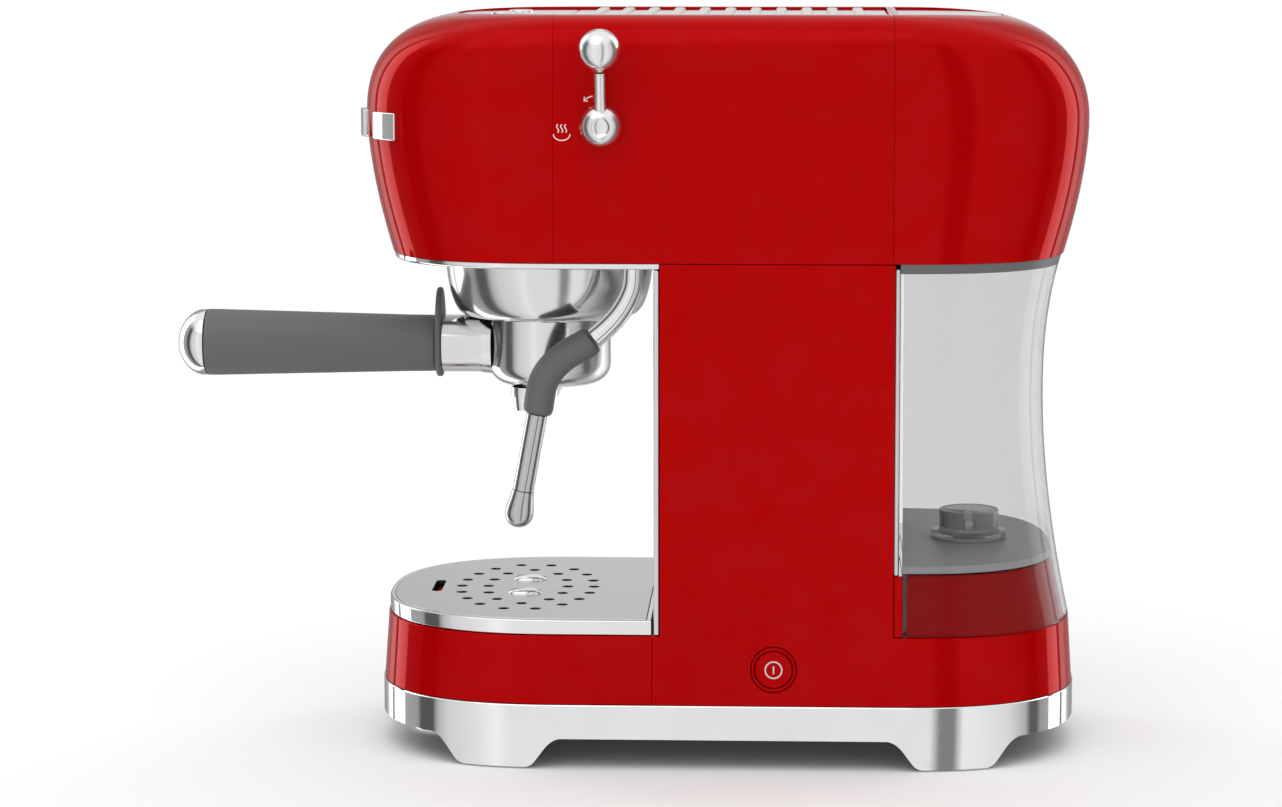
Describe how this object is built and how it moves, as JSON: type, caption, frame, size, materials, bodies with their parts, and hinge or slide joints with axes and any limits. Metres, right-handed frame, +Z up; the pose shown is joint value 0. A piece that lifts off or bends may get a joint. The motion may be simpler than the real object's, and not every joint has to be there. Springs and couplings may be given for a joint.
{
  "type": "espresso machine",
  "caption": "Slim pump espresso machine with a rounded red body, side steam lever and wand, portafilter, drip tray and clear rear water tank.",
  "frame": {"origin": "centre of the machine's footprint, handle and lever included, on the worktop", "axes": "-Y is the front where the handle points, +X is the side with the steam lever, +Z is up"},
  "size_m": [0.1742, 0.4097, 0.3278],
  "materials": {
    "red": "high gloss red",
    "chrome": "polished",
    "steel": "brushed",
    "plate": "satin, very light",
    "grey": "soft matte grey",
    "black": "matte black",
    "rubber": "matte",
    "trim": "light grey",
    "tank": "clear smoked plastic",
    "cast": "as cast",
    "brass": "machined",
    "board": "circuit board green",
    "hose": "silicone"
  },
  "bodies": {
    "machine": {"body_shell": "red", "head_front_cover": "red", "head_middle_cover": "red", "power_bezel": "red", "base_skirt": "chrome", "foot_front_center": "chrome", "head_underplate": "chrome", "group_bowl": "chrome", "badge": "chrome", "column_front_panel": "steel", "shower_screen": "steel", "shower_screw": "steel", "chassis_frame": "steel", "control_plate": "plate", "cup_plate": "plate", "base_floor": "black", "foot_pad_front_left": "rubber", "foot_pad_front_right": "rubber", "foot_pad_rear_left": "rubber", "foot_pad_rear_right": "rubber", "group_gasket": "rubber", "tank_seat": "rubber", "cord_gland": "rubber", "column_rear_trim": "trim", "thermoblock": "cast", "pump": "cast", "brew_pipe": "brass", "steam_valve": "brass", "control_board": "board", "water_hose": "hose", "pressure_hose": "hose", "steam_hose": "hose"},
    "portafilter": {"portafilter_bowl": "chrome", "filter_basket": "steel", "hand_guard": "grey", "handle_grip": "grey", "handle_cap": "chrome", "twin_spout": "chrome"},
    "steam_wand": {"wand_joint": "chrome", "wand_upper_tube": "chrome", "wand_grip": "grey", "wand_lower_tube": "steel", "wand_nozzle": "steel"},
    "steam_lever": {"lever_hub": "chrome", "lever_knob": "chrome"},
    "power_button": {"power_cap": "red"},
    "one_cup_button": {"one_cup_button_cap": "chrome"},
    "two_cup_button": {"two_cup_button_cap": "chrome"},
    "steam_button": {"steam_button_cap": "chrome"},
    "drip_tray": {"tray_shell": "red", "tray_basin": "black", "tray_rim": "chrome"},
    "grate": {"tray_grate": "steel"},
    "tray_float": {"tray_float": "red"},
    "tank": {"water_tank": "tank", "tank_valve": "grey"},
    "tank_lid": {"tank_lid": "red", "lid_plate": "plate"}
  },
  "joints": [
    {"name": "portafilter_turn", "type": "hinge", "parent": "machine", "child": "portafilter", "pos_m": [-0.01013, -0.0362, 0.1776], "axis": [0, 0, 1], "range_deg": [-55, 0]},
    {"name": "wand_swivel", "type": "hinge", "parent": "machine", "child": "steam_wand", "pos_m": [0.04188, 0.0044, 0.2244], "axis": [0, 0, 1], "range_deg": [0, 75]},
    {"name": "steam_lever_turn", "type": "hinge", "parent": "machine", "child": "steam_lever", "pos_m": [0.06488, -0.0086, 0.281], "axis": [1, 0, 0], "range_deg": [0, 90]},
    {"name": "power_press", "type": "slide", "parent": "machine", "child": "power_button", "axis": [-1, 0, 0], "range_m": [0, 0.002], "stiffness_N_per_m": 400, "springref_m": -0.001},
    {"name": "one_cup_press", "type": "slide", "parent": "machine", "child": "one_cup_button", "axis": [0, 0, -1], "range_m": [0, 0.0012], "stiffness_N_per_m": 400, "springref_m": -0.001},
    {"name": "two_cup_press", "type": "slide", "parent": "machine", "child": "two_cup_button", "axis": [0, 0, -1], "range_m": [0, 0.0012], "stiffness_N_per_m": 400, "springref_m": -0.001},
    {"name": "steam_press", "type": "slide", "parent": "machine", "child": "steam_button", "axis": [0, 0, -1], "range_m": [0, 0.0012], "stiffness_N_per_m": 400, "springref_m": -0.001},
    {"name": "tray_pull", "type": "slide", "parent": "machine", "child": "drip_tray", "axis": [0, -1, 0], "range_m": [0, 0.14]},
    {"name": "grate_lift", "type": "slide", "parent": "drip_tray", "child": "grate", "axis": [0, 0, 1], "range_m": [0, 0.03]},
    {"name": "float_rise", "type": "slide", "parent": "drip_tray", "child": "tray_float", "axis": [0, 0, 1], "range_m": [0, 0.006]},
    {"name": "tank_lift", "type": "slide", "parent": "machine", "child": "tank", "axis": [0, 0, 1], "range_m": [0, 0.275]},
    {"name": "lid_lift", "type": "slide", "parent": "tank", "child": "tank_lid", "axis": [0, 0, 1], "range_m": [0, 0.12]}
  ]
}
